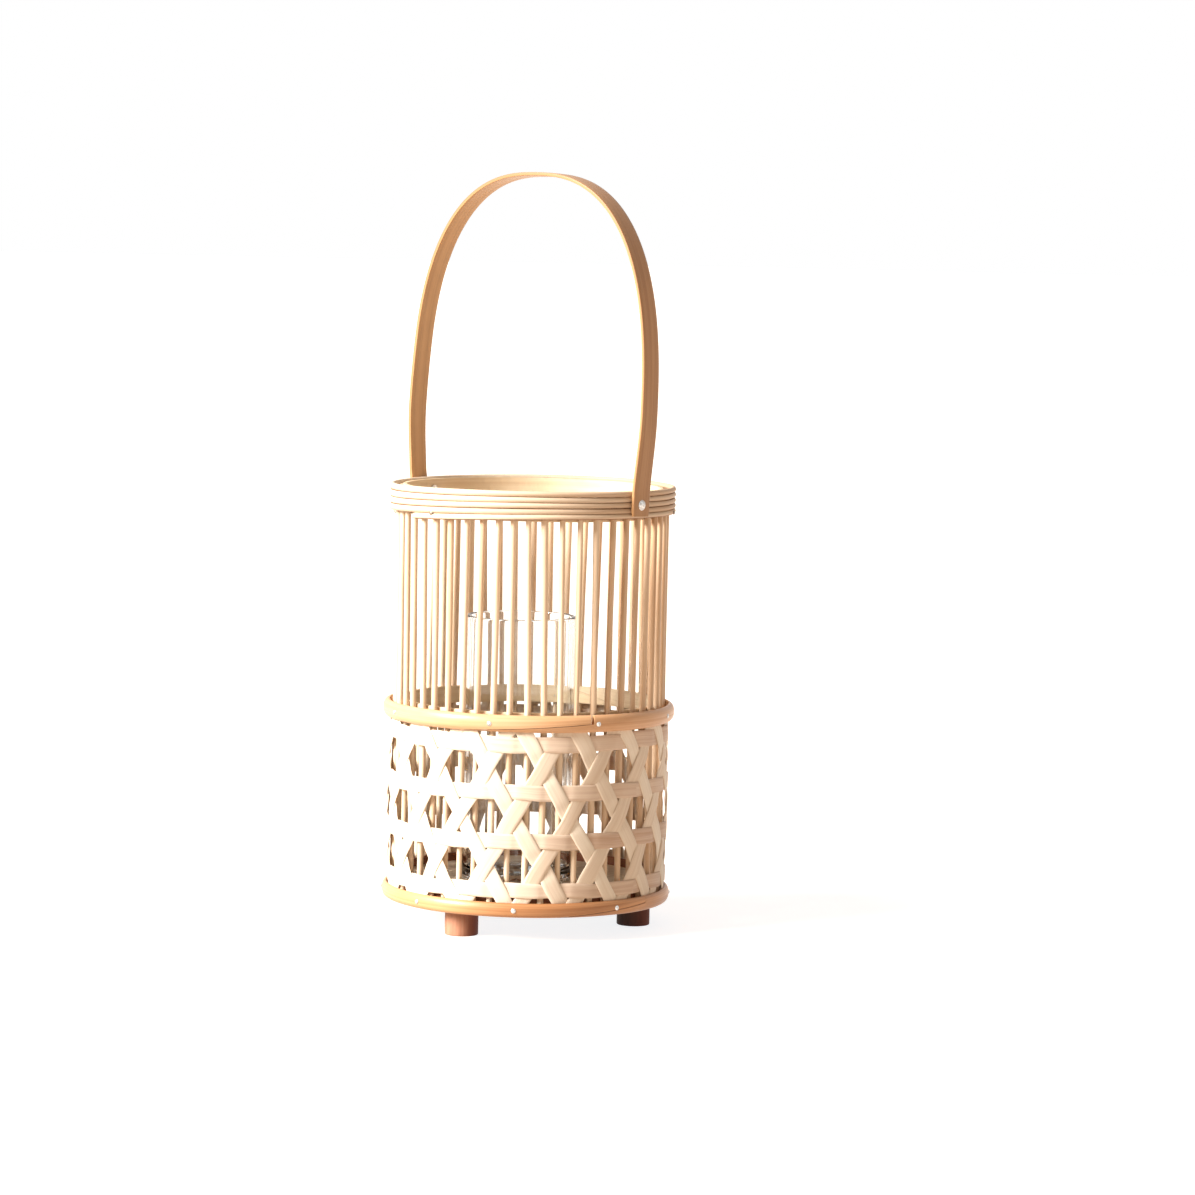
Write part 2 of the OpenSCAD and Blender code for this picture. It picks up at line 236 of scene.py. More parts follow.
# the nodes of a material or a world being made
class Finish:
    def __init__(self, owner):
        owner.use_nodes = True
        self.owner, self.tree = owner, owner.node_tree
        self.tree.nodes.clear()

    # any node: its type, the output that is wanted, its settings, and its sockets' values or links
    def add(self, kind, output=None, settings=None, inputs=None):
        node = self.tree.nodes.new(kind)
        for key, value in (settings or {}).items():
            setattr(node, key, value)
        for key, value in (inputs or {}).items():
            if isinstance(value, Wire):
                self.tree.links.new(value.socket, node.inputs[key])
            elif isinstance(value, tuple) and len(value) == 3 and node.inputs[key].type == "RGBA":
                node.inputs[key].default_value = (*value, 1.0)
            else:
                node.inputs[key].default_value = value
        return Wire(self, node.outputs[output]) if output is not None else node

    # the piece's own UV map, in metres, stretched; the seed moves a pattern to another place
    def uv(self, along, across, seed=0.0):
        place = self.add("ShaderNodeUVMap", "UV", {"uv_map": "UVMap"})
        return self.add("ShaderNodeMapping", "Vector", {"vector_type": "POINT"},
                        {"Vector": place, "Location": (seed, seed * 0.37, seed * 0.11),
                         "Scale": (along, across, 1.0)})

    # soft noise about 0.5
    def noise(self, place, scale=1.0, detail=3.0, rough=0.55):
        return self.add("ShaderNodeTexNoise", "Fac", {"noise_dimensions": "3D"},
                        {"Vector": place, "Scale": scale, "Detail": detail, "Roughness": rough})

    # from the first colour to the second
    def blend(self, share, first, second):
        return self.add("ShaderNodeMix", 2, {"data_type": "RGBA", "clamp_factor": True},
                        {0: share, 6: first, 7: second})

    # the piece's own attribute: how dark each of its points is
    def tint(self):
        return self.add("ShaderNodeAttribute", "Fac", {"attribute_name": "tint"})

    # relief as deep as distance
    def bump(self, height, strength, distance):
        return self.add("ShaderNodeBump", "Normal", {},
                        {"Height": height, "Strength": strength, "Distance": distance})

    # the last step: one Principled shader
    def done(self, **inputs):
        names = {key.replace("_", " "): value for key, value in inputs.items()}
        shader = self.add("ShaderNodeBsdfPrincipled", "BSDF", {}, names)
        self.add("ShaderNodeOutputMaterial", None, {}, {"Surface": shader})
        return self.owner


def newMaterial(name):
    return Finish(bpy.data.materials.new(name))


# split bamboo: fine fibres and coarser ones along u, slow blotches, and a tint for each strip, which
# in some pieces holds painted shade on the basket's shaded side
def splitBamboo(name, look):
    f = newMaterial(name)
    fibre = f.noise(f.uv(look["fibreAlong"], look["fibreAcross"], 3.1), 1.0, 4.0, 0.6)
    coarse = f.noise(f.uv(look["fibreAlong"] * 0.4, look["fibreAcross"] * 0.22, 7.7), 1.0, 2.0)
    blotch = f.noise(f.uv(22.0, 60.0, 1.3), 1.0, 3.0)
    shade = (fibre.between(0.35, 0.75) * look["fibreDepth"]
             + coarse.between(0.4, 0.7) * look["coarseDepth"])
    body = f.blend(blotch.between(0.3, 0.7), look["pale"], look["warm"])
    body = f.blend((shade + f.tint() * look["tintDepth"]).clipped(), body, look["dark"])
    height = fibre * 0.6 + coarse * 0.4
    return f.done(Base_Color=body, Roughness=0.5 * fibre + look["rough"],
                  Normal=f.bump(height, look["bump"], 0.0004),
                  Coat_Weight=look["coat"], Coat_Roughness=0.3, Specular_IOR_Level=0.35)


handleLook = {"fibreAlong": 14, "fibreAcross": 1500, "fibreDepth": 0.25, "coarseDepth": 0.2,
              "tintDepth": 0.7, "pale": (0.66, 0.385, 0.175), "warm": (0.58, 0.32, 0.135),
              "dark": (0.32, 0.15, 0.06), "rough": 0.2, "bump": 0.35, "coat": 0.08}
hoopLook = {"fibreAlong": 10, "fibreAcross": 1300, "fibreDepth": 0.35, "coarseDepth": 0.35,
            "tintDepth": 0.6, "pale": (0.75, 0.47, 0.27), "warm": (0.69, 0.40, 0.20),
            "dark": (0.46, 0.20, 0.08), "rough": 0.15, "bump": 0.3, "coat": 0.15}
baseHoopLook = {**hoopLook, "tintDepth": 0.8, "pale": (0.75, 0.40, 0.19),
                "warm": (0.68, 0.335, 0.145), "dark": (0.34, 0.14, 0.05)}
bandLook = {"fibreAlong": 10, "fibreAcross": 1200, "fibreDepth": 0.35, "coarseDepth": 0.3,
            "tintDepth": 0.5, "pale": (0.85, 0.70, 0.50), "warm": (0.78, 0.60, 0.39),
            "dark": (0.60, 0.40, 0.21), "rough": 0.3, "bump": 0.35, "coat": 0.0}
# the base band's colours are painted shade: it sits low inside, in shade between the stakes
paintedShadeBandLook = {**bandLook, "pale": (0.34, 0.13, 0.055), "warm": (0.25, 0.085, 0.035),
                "dark": (0.09, 0.03, 0.015)}
slantLook = {"fibreAlong": 18, "fibreAcross": 1700, "fibreDepth": 0.28, "coarseDepth": 0.25,
             "tintDepth": 0.5, "pale": (0.87, 0.78, 0.65), "warm": (0.83, 0.70, 0.56),
             "dark": (0.62, 0.46, 0.33), "rough": 0.3, "bump": 0.4, "coat": 0.0}
levelLook = {**slantLook, "tintDepth": 0.8, "pale": (0.87, 0.75, 0.61),
             "warm": (0.82, 0.66, 0.51), "dark": (0.50, 0.32, 0.22)}
# the groove colour is painted shade between the courses, with some stain in it
caneLook = {"pale": (0.86, 0.73, 0.57), "warm": (0.78, 0.60, 0.43), "dark": (0.48, 0.31, 0.19),
            "grooveShadeAndStain": (0.22, 0.075, 0.03), "grooveShadeAndStainDepth": 0.95, "lineDepth": 0.35,
            "tintDepth": 0.75}
stakeLook = {"pale": (0.88, 0.75, 0.58), "warm": (0.80, 0.61, 0.42), "dark": (0.52, 0.31, 0.17),
             "lineDepth": 0.35, "streakDepth": 0.35, "tintDepth": 0.6}
boardLook = {"pale": (0.52, 0.42, 0.31), "dark": (0.33, 0.23, 0.15), "grain": (260, 18, 60),
             "rough": 0.5, "sideShade": (0.14, 0.03, 0.012)}
# the side shade colour is painted shade on the side of a foot away from the light
footLook = {"pale": (0.50, 0.25, 0.155), "dark": (0.33, 0.13, 0.07), "grain": (220, 220, 26),
            "rough": 0.42, "sideShade": (0.14, 0.03, 0.012)}
# one foot stands in the basket's shadow; this near-black wood is painted shade
paintedShadeFootLook = {**footLook, "pale": (0.09, 0.034, 0.02), "dark": (0.03, 0.011, 0.007),
                "rough": 0.5}
steelLook = {"bright": (0.74, 0.72, 0.69), "dull": (0.42, 0.38, 0.34), "rough": 0.25}
dullSteelLook = {"bright": (0.34, 0.26, 0.19), "dull": (0.16, 0.10, 0.07), "rough": 0.4}
glassLook = {"colour": (0.965, 0.99, 1.0), "ior": 1.46, "ripple": 34.0}


# round cane: pale skin with fine lengthwise lines, a tint with painted shade at the basket's shaded
# side, and painted shade with some stain in the grooves between courses, none above topHeight; v
# runs once round the section from its outer side, so the grooves lie at a quarter and three quarters
# of the way round
def courseCane(look, around, topHeight):
    f = newMaterial("rimCane")
    line = f.noise(f.uv(12, 1500, 2.0), 1.0, 3.0, 0.6)
    blotch = f.noise(f.uv(16.0, 40.0, 5.0), 1.0, 3.0)
    place = f.add("ShaderNodeUVMap", "UV", {"uv_map": "UVMap"})
    v = f.add("ShaderNodeSeparateXYZ", "Y", {}, {"Vector": place})
    side = v.calc("SINE", v * (2 * math.pi / around))
    height = f.add("ShaderNodeSeparateXYZ", "Z", {},
                   {"Vector": f.add("ShaderNodeTexCoord", "Object")})
    # the groove mask: painted shade between the courses, with some stain
    grooveShadeAndStain = v.calc("ABSOLUTE", side).between(0.88, 0.98) * v.calc("LESS_THAN", height, topHeight)
    shade = line.between(0.5, 0.8) * look["lineDepth"] + f.tint() * look["tintDepth"]
    body = f.blend(blotch.between(0.3, 0.7), look["pale"], look["warm"])
    body = f.blend(shade.clipped(), body, look["dark"])
    body = f.blend(grooveShadeAndStain * look["grooveShadeAndStainDepth"], body, look["grooveShadeAndStain"])
    return f.done(Base_Color=body, Roughness=0.3 * line + 0.4,
                  Normal=f.bump(line, 0.3, 0.0003), Specular_IOR_Level=0.2)


# a round split rod: fine lines and wider streaks along u, slow blotches, and a tint for each rod,
# a random tone plus painted shade on the basket's shaded side
def stakeReed(look):
    f = newMaterial("stakeReed")
    line = f.noise(f.uv(9, 1300, 2.0), 1.0, 3.0, 0.6)
    streak = f.noise(f.uv(4, 300, 4.0), 1.0, 2.0)
    blotch = f.noise(f.uv(14.0, 40.0, 6.0), 1.0, 3.0)
    body = f.blend(blotch.between(0.3, 0.7), look["pale"], look["warm"])
    shade = (line.between(0.45, 0.8) * look["lineDepth"]
             + streak.between(0.5, 0.75) * look["streakDepth"] + f.tint() * look["tintDepth"])
    body = f.blend(shade.clipped(), body, look["dark"])
    return f.done(Base_Color=body, Roughness=0.3 * line + 0.3,
                  Normal=f.bump(line * 0.6 + streak * 0.4, 0.35, 0.0004),
                  Specular_IOR_Level=0.22, Coat_Weight=0.05, Coat_Roughness=0.35)


# turned or sawn wood on a CAD node or a lathe-made piece, from Object coordinates: grain stretched
# along one axis, and mottling; where a piece has a tint, it blends in painted shade
def plainWood(name, look):
    f = newMaterial(name)
    place = f.add("ShaderNodeTexCoord", "Object")
    stretched = f.add("ShaderNodeMapping", "Vector", {}, {"Vector": place, "Scale": look["grain"]})
    grain = f.noise(stretched, 1.0, 4.0, 0.6)
    mottle = f.noise(place, 60.0, 3.0)
    shade = grain.between(0.35, 0.7) * 0.8 + mottle.between(0.4, 0.8) * 0.3
    body = f.blend(shade, look["pale"], look["dark"])
    # painted shade, where the piece has a tint
    body = f.blend(f.tint(), body, look["sideShade"])
    return f.done(Base_Color=body, Roughness=0.25 * grain + look["rough"],
                  Normal=f.bump(grain, 0.4, 0.0005), Specular_IOR_Level=0.3)


# nails and rivets: fine scratches, and dull spots between bright ones
def nailSteel(name, look):
    f = newMaterial(name)
    place = f.add("ShaderNodeTexCoord", "Object")
    scratch = f.noise(place, 2600.0, 3.0)
    spots = f.noise(place, 900.0, 2.0)
    body = f.blend(spots.between(0.4, 0.65), look["bright"], look["dull"])
    return f.done(Base_Color=body, Metallic=0.85, Roughness=0.3 * scratch + look["rough"],
                  Normal=f.bump(scratch, 0.3, 0.0002))


# blown glass: clear, with slow shallow ripples
def clearGlass(look):
    f = newMaterial("clearGlass")
    ripple = f.noise(f.add("ShaderNodeTexCoord", "Object"), look["ripple"], 1.0)
    return f.done(Base_Color=look["colour"], Roughness=0.0, IOR=look["ior"],
                  Transmission_Weight=1.0, Normal=f.bump(ripple, 0.05, 0.001))


print("finishes")
handleFinish = splitBamboo("handleBamboo", handleLook)
hoopFinish = splitBamboo("hoopBamboo", hoopLook)
bandFinish = splitBamboo("bandBamboo", bandLook)
paintedShadeBandFinish = splitBamboo("bandBambooPaintedShade", paintedShadeBandLook)
baseHoopFinish = splitBamboo("baseHoopBamboo", baseHoopLook)
slantFinish = splitBamboo("slantBamboo", slantLook)
levelFinish = splitBamboo("levelBamboo", levelLook)
stakeFinish = stakeReed(stakeLook)
boardFinish = plainWood("baseBoardWood", boardLook)
footFinish = plainWood("footWood", footLook)
paintedShadeFootFinish = plainWood("footWoodPaintedShade", paintedShadeFootLook)
steelFinish = nailSteel("nailSteel", steelLook)
dullSteelFinish = nailSteel("dullNailSteel", dullSteelLook)
glassFinish = clearGlass(glassLook)


# a ring node's outer radius: its furthest reach along X
def radiusOf(node):
    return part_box(node)[1].x


# a node's lowest and highest points
def heights(node):
    low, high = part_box(node)
    return low.z, high.z


print("camera")
view = {"distance": 3.15417, "height": 0.51515, "aside": 49.55, "pan": 0.0154, "pitch": -0.087,
        "roll": 0.0217, "lens": 130.22, "sensor": 36.0, "near": 0.05, "far": 50.0}


# the camera stands the given distance from the lantern, aside from its handle's line by an angle,
# and is then panned, pitched and rolled; gives back the turn from the view to the lantern
def placeCamera(v):
    turn = math.radians(v["aside"])
    # columns: the viewer's right, depth and up, in the lantern's frame
    toLantern = np.array([[math.sin(turn), -math.cos(turn), 0],
                          [math.cos(turn), math.sin(turn), 0], [0, 0, 1]])
    sp, cp, st, ct = (math.sin(v["pan"]), math.cos(v["pan"]),
                      math.sin(v["pitch"]), math.cos(v["pitch"]))
    right, rise = np.array([cp, -sp, 0]), np.array([-sp * st, -cp * st, ct])
    ahead = np.array([sp * ct, cp * ct, st])
    cr, sr = math.cos(v["roll"]), math.sin(v["roll"])
    axes = np.stack([right * cr + rise * sr, -right * sr + rise * cr, -ahead], -1)
    place = np.eye(4)
    place[:3, :3] = toLantern @ axes
    place[:3, 3] = toLantern @ np.array([0, -v["distance"], v["height"]])
    data = bpy.data.cameras.new("camera")
    data.lens, data.sensor_width = v["lens"], v["sensor"]
    data.clip_start, data.clip_end = v["near"], v["far"]
    camera = bpy.data.objects.new("camera", data)
    bpy.context.scene.collection.objects.link(camera)
    camera.matrix_world = Matrix(place.tolist())
    bpy.context.scene.camera = camera
    return toLantern


toLantern = placeCamera(view)


print("handle")
handleShape = {"width": 17.2 * mm, "thick": 2.5 * mm, "corner": 0.55 * mm, "strip": 2.6 * mm,
               "rimGap": 0.4 * mm, "shoulder": 67 * mm, "bulge": 4.0 * mm, "sidePower": 1.4,
               "archPower": 2.48, "tail": 8.1 * mm, "lean": 2.1, "widthVary": 0.018,
               "twist": 0.012, "crown": 0.14 * mm, "pad": 0.85 * mm, "spring": 2.2 * mm,
               "springsOver": (2 * mm, 16 * mm), "backOver": (34 * mm, 115 * mm),
               "skinTint": 0.95, "innerTint": 0.2, "sideSteps": 40, "archSteps": 90}


# the half of the bent strip on +X, as (out, up) from the rivet: straight past the rivet, out to
# the shoulder as a sine to a power, then a quarter of a superellipse to the crown; the other half
# is its mirror
def handleLine(h, foot, top):
    low = np.stack([np.full(6, foot), np.linspace(-h["tail"], h["tail"], 6)], -1)
    u = np.linspace(0, 1, h["sideSteps"])[1:]
    side = np.stack([foot + h["bulge"] * np.sin(u * math.pi / 2) ** h["sidePower"],
                     h["tail"] + (h["shoulder"] - h["tail"]) * u], -1)
    a = np.linspace(0, 1, h["archSteps"])[1:] ** 1.15 * math.pi / 2
    power = 2 / h["archPower"]
    arch = np.stack([(foot + h["bulge"]) * np.cos(a).clip(0) ** power,
                     h["shoulder"] + (top - h["shoulder"]) * np.sin(a) ** power], -1)
    half = np.concatenate([low, side, arch])
    return np.concatenate([half, (half * [-1, 1])[-2::-1]])


swing = next(j for j in frame["joints"] if j["name"] == "handle_swing")


# a flat section carried along that line, with the outer face a little crowned, the width and the
# twist a little uneven, and the whole strip leant back about its rivets
def makeHandle(h):
    pivot = np.array(swing["pos_m"])
    low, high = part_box("handle")
    lean = math.radians(h["lean"])
    foot = radiusOf("rim_course_1") + h["rimGap"] + h["strip"] / 2
    top = (high.z - h["width"] / 2 * math.sin(lean) - pivot[2]) / math.cos(lean) - h["strip"] / 2
    line = handleLine(h, foot, top - 0.1 * mm)
    centre = np.stack([line[:, 0], np.zeros(len(line)), line[:, 1]], -1)
    ahead = np.gradient(centre, axis=0)
    ahead /= np.linalg.norm(ahead, axis=-1, keepdims=True)
    across = np.tile([0.0, 1.0, 0.0], (len(line), 1))
    outward = np.cross(across, ahead)
    place = np.linspace(0, 1, len(line))
    section = flatSection(h["width"], h["thick"], h["corner"], 4, 5)
    width = 1 + h["widthVary"] * wobble(place, 11, (2, 3, 5, 7))
    sections = section[None] * np.stack([width, np.ones_like(width)], -1)[:, None]
    crown = h["crown"] * (1 - (2 * section[:, 0] / h["width"]) ** 2) * (section[:, 1] > 0)
    sections = sections + np.stack([np.zeros_like(crown), crown - h["crown"] / 2], -1)
    across = across + outward * (h["twist"] * wobble(place, 12, (1, 2, 3)))[:, None]
    # the left leg lies over the thick side of the rim and springs out a little above it
    leg = h["pad"] + (h["spring"] - h["pad"]) * fade(line[:, 1], *h["springsOver"])
    centre[:, 0] -= leg * (1 - fade(line[:, 1], *h["backOver"])) * (line[:, 0] < 0)
    points = carry(centre, across, outward, sections)
    # each end's last millimetre of about 700 is a hair smaller, as if sanded
    fromEnd = np.minimum(place, 1 - place) * 700
    sanded = 0.06 * (1 - fade(fromEnd, 0, 1))
    points = points - (points - points.mean(1, keepdims=True)) * sanded[:, None, None]
    turn = np.array([[1, 0, 0], [0, math.cos(lean), math.sin(lean)],
                     [0, -math.sin(lean), math.cos(lean)]])
    points = points @ turn.T + pivot
    # the skin side is darker than the inner side
    tint = np.where(section[:, 1] > 0, h["skinTint"], h["innerTint"])
    piece = meshFrom("handleStrip", [points], tints=[tint])
    return fit(piece, handleFinish, "handle_bamboo", "handle", "handle")


makeHandle(handleShape)


print("rim")
rimShape = {"sides": 18, "steps": 480, "sway": 0.14 * mm, "rise": 0.16 * mm, "swell": 0.03,
            "thickSide": -150.0, "thicker": (0.12, 0.05), "lower": (0.35 * mm, 0.35 * mm, 1.0 * mm),
            "endAt": -105.5, "endGap": 46.0, "tint": 0.15, "tintVary": 0.15, "paintedShadeTint": 0.75,
            "paintedShadeAt": 30, "paintedShadeWidth": 125}


courseCount = len([n for n in frame["nodes"] if n.startswith("rim_course_")])


# a round cane bent into a ring: near, the cosine of the angle from the thick side, and its square
# make the canes thicker and lower there, and each one sways and swells a little; the lowest one
# stops short and is cut off square
def makeCourse(number, s):
    radius = (heights("rim_course_1")[1] - heights("rim_course_1")[0]) / 2
    top = heights("rim_course_1")[1]
    inner = radiusOf("rim_course_1") - 2 * radius
    short = number == courseCount
    turns = np.arange(s["steps"]) / s["steps"]
    if short:
        turns = (s["endAt"] + np.linspace(0, 360 - s["endGap"], s["steps"])) / 360
    angle = 2 * math.pi * turns
    near = np.cos(angle - math.radians(s["thickSide"]))
    grow = 1 + s["thicker"][0] * near + s["thicker"][1] * near ** 2
    sink = s["lower"][0] + s["lower"][1] * near + s["lower"][2] * near ** 2
    size = radius * grow * (1 + s["swell"] * wobble(turns, 40 + number, (3, 5, 7, 11)))
    middle = inner + radius * grow + s["sway"] * (1 + wobble(turns, 20 + number))
    height = top - sink - 2.02 * radius * grow * (number - 0.5)
    height = height + s["rise"] * wobble(turns, 30 + number)
    if short:
        along = np.linspace(0, 1, s["steps"])
        size = size * (0.8 + 0.2 * fade(np.minimum(along, 1 - along), 0, 0.004))
    centre = outAt(angle) * middle[:, None] + upAxis * height[:, None]
    section = roundSection(s["sides"])[None] * size[:, None, None]
    points = carry(centre, np.tile(upAxis, (len(angle), 1)), -outAt(angle),
                   section[:, :, ::-1] * [1, -1])
    # each course's tint: a tone of its own, plus painted shade on the basket's shaded side
    tint = (s["tint"] + s["tintVary"] * math.sin(number * 2.1)
            + s["paintedShadeTint"] * paintedShadeSide(angle, s["paintedShadeAt"], s["paintedShadeWidth"]))
    piece = meshFrom(f"rimCane{number}", [points], closedPath=not short,
                     uvShift=[number * 1.7], tints=[tint[:, None]])
    return fit(piece, caneFinish, "rattan", "basket", f"rim_course_{number}")


caneRound = math.pi * (heights("rim_course_1")[1] - heights("rim_course_1")[0])
caneFinish = courseCane(caneLook, caneRound, heights("rim_course_1")[1] - 2.6 * mm)
for number in range(1, courseCount + 1):
    makeCourse(number, rimShape)


print("hoops")
hoopShape = {"steps": 420, "sectionSteps": 19, "sway": 0.02, "rise": 0.2 * mm}


# a hoop of one strip, a little more than a turn long, whose two ends lie against each other:
# at each angle the section is cut off at the joint's height, which rises evenly to a share of
# the hoop's height and then steps up to its edge; a notch is left open at that step; the section
# is flat at its back, and half a superellipse at its front
def hoopGrid(inner, outer, low, high, joint, power, seed):
    start, span, share, gap = joint["start"], joint["span"], joint["share"], joint["gap"]
    step = span + joint["notch"]
    even = np.linspace(0, 360 + span, hoopShape["steps"])
    close = np.linspace(-1.2, 0.3, 12)
    turn = np.unique(np.concatenate([even, step + close, 360 + span + close[close < 0]]))
    height = high - low

    def edge(t, stepAt):
        return share * np.clip(t / span, 0, 1) + (1 - share) * fade(t, stepAt - 0.7, stepAt)

    bottom = low + np.where(turn > 360, height * edge(turn - 360, span) + gap, 0)
    top = low + np.where(turn < step, height * edge(turn, step) - gap, height)
    top = np.maximum(top, bottom + 0.15 * mm)
    middle = (low + high) / 2
    steps = 0.5 - 0.5 * np.cos(np.linspace(0, math.pi, hoopShape["sectionSteps"]))
    z = bottom[:, None] + (top - bottom)[:, None] * np.concatenate([[0], steps, [1]])
    away = np.clip(np.abs(z - middle) / (height / 2), 0, 1)
    depth = (outer - inner) * (1 - 0.97 * away ** power) ** (1 / power)
    depth[:, 0] = depth[:, -1] = 0
    sway = 1 + hoopShape["sway"] * wobble(turn / 360, seed)
    rise = hoopShape["rise"] * wobble(turn / 360, seed + 1)
    z = middle + (z - middle) * sway[:, None] + rise[:, None]
    points = (outAt(np.radians(start + turn))[:, None] * (inner + depth)[..., None]
              + upAxis * z[..., None])
    return points, turn / (360 + span)


# a hoop between its inner face and its node's outer radius: dark from its joint on, fading along
# it, and with painted shade at one side where dark gives it
def makeHoop(name, node, joint, power, finish, slot, seed, dark=None):
    low, high = heights(node)
    outer = max(-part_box(node)[0].x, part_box(node)[1].x, -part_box(node)[0].y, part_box(node)[1].y)
    points, share = hoopGrid(innerOf[node], outer - 0.02 * mm, low, high, joint, power, seed)
    tint = joint["darkStart"] * (1 - fade(share, 0.05, 0.35))[:, None]
    if dark:
        tint = tint + dark["depth"] * paintedShadeSide(np.arctan2(points[..., 1], points[..., 0]),
                                               dark["at"], dark["width"])
    piece = meshFrom(name, [points], uvShift=[seed * 0.9], tints=[tint], sharp=35)
    return fit(piece, finish, slot, "basket", node)


# inner faces, from the frame: the hoops lie on the weave's outermost strips, and the bands
# between the board and the inner side of the stakes
weaveLayer, bandThick, nodeGap = 0.9 * mm, 2.9 * mm, 0.1 * mm
weaveOut = max(radiusOf(n) for n in frame["nodes"] if n.startswith("weave_ring_")) + weaveLayer
bandIn = radiusOf("base_board") + nodeGap
innerOf = {"waist_hoop": weaveOut, "base_hoop": weaveOut, "rim_band": bandIn,
           "waist_band": bandIn, "base_band": bandIn}


# a hoop's joint: its middle's angle, its length, the share of the height where it steps up, the
# space between the ends, how dark the strip starts, and how wide the notch is, in degrees
def jointAt(middle, length, share=1.0, gap=0.14 * mm, darkStart=0.3, notch=0.0):
    span = math.degrees(length / bandIn)
    return {"start": middle - span / 2, "span": span, "share": share, "gap": gap,
            "darkStart": darkStart, "notch": notch}


waistJoint = jointAt(-50.3, 84 * mm, 0.5, 0.2 * mm, 0.4, 1.3)
baseJoint = jointAt(-15, 70 * mm, 0.6, 0.2 * mm, 0.2)
makeHoop("waistHoop", "waist_hoop", waistJoint, 2.3, hoopFinish, "hoop_bamboo", 51)
# the base hoop gets painted shade on the stretch that turns away from the light
makeHoop("baseHoop", "base_hoop", baseJoint, 2.1, baseHoopFinish, "hoop_bamboo", 53,
         dark={"at": -40, "width": 42, "depth": 0.75})
makeHoop("rimBand", "rim_band", jointAt(200, 60 * mm), 14, bandFinish, "hoop_bamboo", 55)
makeHoop("waistBand", "waist_band", jointAt(100, 50 * mm), 14, bandFinish, "hoop_bamboo", 57)
# the base band wears painted shade
makeHoop("baseBand", "base_band", jointAt(60, 50 * mm), 14, paintedShadeBandFinish, "dark_band_bamboo", 59)


print("stakes")
stakeShape = {"sides": 14, "steps": 26, "lean": 0.6 * mm, "bow": 0.7 * mm, "swell": 0.09,
              "headSway": 2.6 * mm, "swayAt": -56.5, "thickness": (0.9, 1.12),
              "headDrop": 1.6 * mm, "evenBelow": 0.45, "perNode": 5, "tintVary": 0.55,
              "paintedShadeTint": 0.9, "paintedShadeAt": 40, "paintedShadeWidth": 100}


# an upright rod with an oval section: the heads lean aside in five slow waves round the basket,
# each foot and head stands a little off its even place, and the rod bows and swells between
def makeStakes(group, count, s):
    node = f"stakes_{group}"
    low, high = heights(node)
    circle = stakeOut - stakeSize / 2
    grids, shifts, tints = [], [], []
    for k in range((group - 1) * s["perNode"], group * s["perNode"]):
        dice = np.random.default_rng(900 + k)
        share = np.linspace(0, 1, s["steps"])
        angle = 2 * math.pi * k / count
        foot, head, bow = dice.uniform(-1, 1, 3) * [s["lean"], s["lean"], s["bow"]]
        head -= s["headSway"] * math.sin(5 * (angle - math.radians(s["swayAt"])))
        rise = np.clip((share - s["evenBelow"]) / (1 - s["evenBelow"]), 0, 1)
        aside = foot + (head - foot) * rise + bow * np.sin(math.pi * share * 1.4)
        out, along = outAt(np.array(angle)), alongAt(np.array(angle))
        centre = (out * circle + along * aside[:, None]
                  + upAxis * (low + 0.1 * mm + (high - low - s["headDrop"]) * share)[:, None])
        swell = 1 + s["swell"] * wobble(share * 0.8, 950 + k, (1, 2, 3))
        wide = dice.uniform(*s["thickness"]) * swell
        oval = np.stack([wide, np.minimum(wide, 1.0)], -1) * stakeSize / 2
        section = roundSection(s["sides"])[None] * oval[:, None]
        grids.append(carry(centre, np.tile(along, (len(share), 1)), np.tile(out, (len(share), 1)),
                           section))
        shifts.append(dice.uniform(0, 30))
        # each rod's tint: a random tone, plus painted shade for rods on the basket's shaded side
        tints.append(s["tintVary"] * dice.uniform(0, 1) ** 1.5
                     + s["paintedShadeTint"] * paintedShadeSide(angle, s["paintedShadeAt"], s["paintedShadeWidth"]))
    piece = meshFrom(f"stakes{group}", grids, uvShift=shifts, tints=tints)
    return fit(piece, stakeFinish, "stake_bamboo", "basket", node)


stakeNodes = [n for n in frame["nodes"] if n.startswith("stakes_")]
stakeOut = radiusOf("stakes_1")
stakeSize = stakeOut - (bandIn + bandThick + nodeGap)
for group in range(1, len(stakeNodes) + 1):
    makeStakes(group, stakeShape["perNode"] * len(stakeNodes), stakeShape)


print("weave")
weaveShape = {"width": 11.0 * mm, "thick": 0.72 * mm, "corner": 0.16 * mm, "slants": 16,
              "cross": 12.9, "sway": 0.8 * mm, "vary": 0.06, "tip": 0.02, "cup": 0.10 * mm,
              "steep": 2.4, "bulge": 1.3 * mm, "askew": 0.7, "slack": 0.08 * mm,
              "levelSway": 0.8 * mm, "levelDip": 0.35 * mm, "levelTint": 0.1, "paintedShadeTint": 0.6,
              "paintedShadeVary": 0.2, "paintedShadeAt": 30, "paintedShadeWidth": 95}


# how far over (+1) or under (-1) a strip lies, from a wave with its crests at the crossings
def overUnder(phase, steep):
    return np.tanh(steep * np.cos(phase)) / math.tanh(steep)


